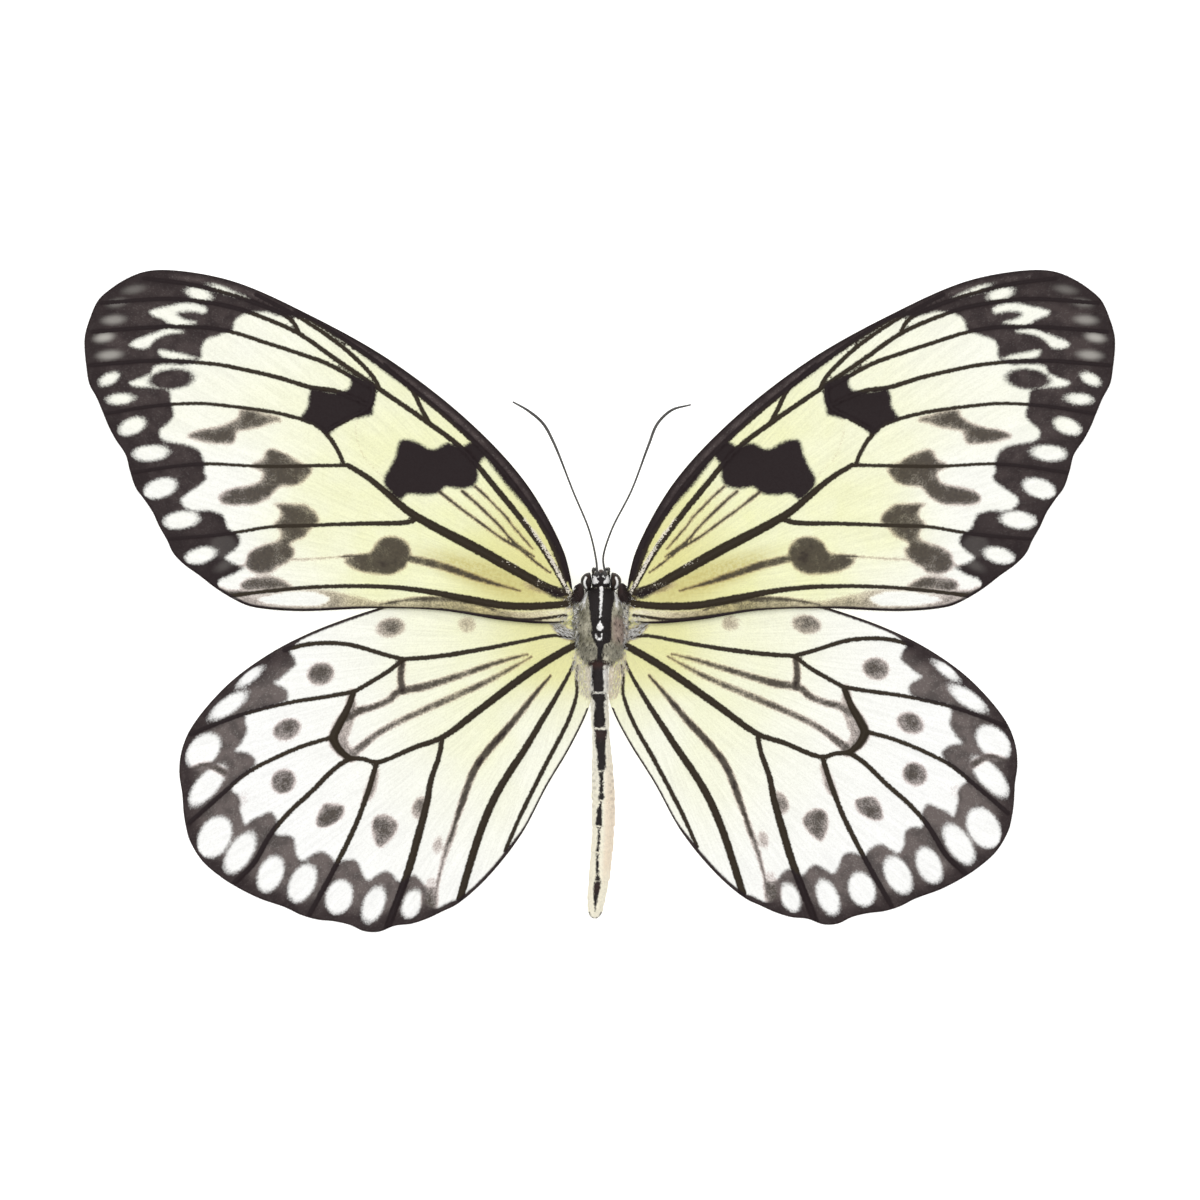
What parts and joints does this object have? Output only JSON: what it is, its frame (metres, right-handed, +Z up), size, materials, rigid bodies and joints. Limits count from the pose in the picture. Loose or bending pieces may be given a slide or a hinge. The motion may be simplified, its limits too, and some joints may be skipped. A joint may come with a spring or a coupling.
{
  "type": "paper kite butterfly",
  "caption": "Life-size paper kite butterfly with spread wings, raised veins, hooked antennae and ringed abdomen, standing on its legs.",
  "frame": {"origin": "centre of the bounding box at the level that the feet stand on", "axes": "+X is the butterfly's right, along its wingspan; +Y is towards its head; +Z is up"},
  "size_m": [0.1288, 0.0828, 0.0135],
  "materials": {
    "wing": "matt scales, pale with black veins and spots",
    "thorax": "short dense hair, black with white stripes",
    "head": "short hair, black with white spots",
    "abdomen": "fine scales, cream with a dark stripe along the back",
    "palp": "hairy, black and white",
    "eye": "glossy, finely faceted",
    "feeler": "dark horn",
    "leg": "dark scaly horn"
  },
  "bodies": {
    "root": {"head": "head", "eye_left": "eye", "eye_right": "eye", "antenna_left": "feeler", "antenna_right": "feeler", "palp_left": "palp", "palp_right": "palp", "proboscis": "feeler", "thorax": "thorax", "tegula_left": "thorax", "tegula_right": "thorax", "abdomen": "abdomen", "foreleg_left": "leg", "foreleg_right": "leg", "midleg_left": "leg", "midleg_right": "leg", "hindleg_left": "leg", "hindleg_right": "leg", "forewing_left": "wing", "forewing_right": "wing", "hindwing_left": "wing", "hindwing_right": "wing"}
  },
  "joints": []
}
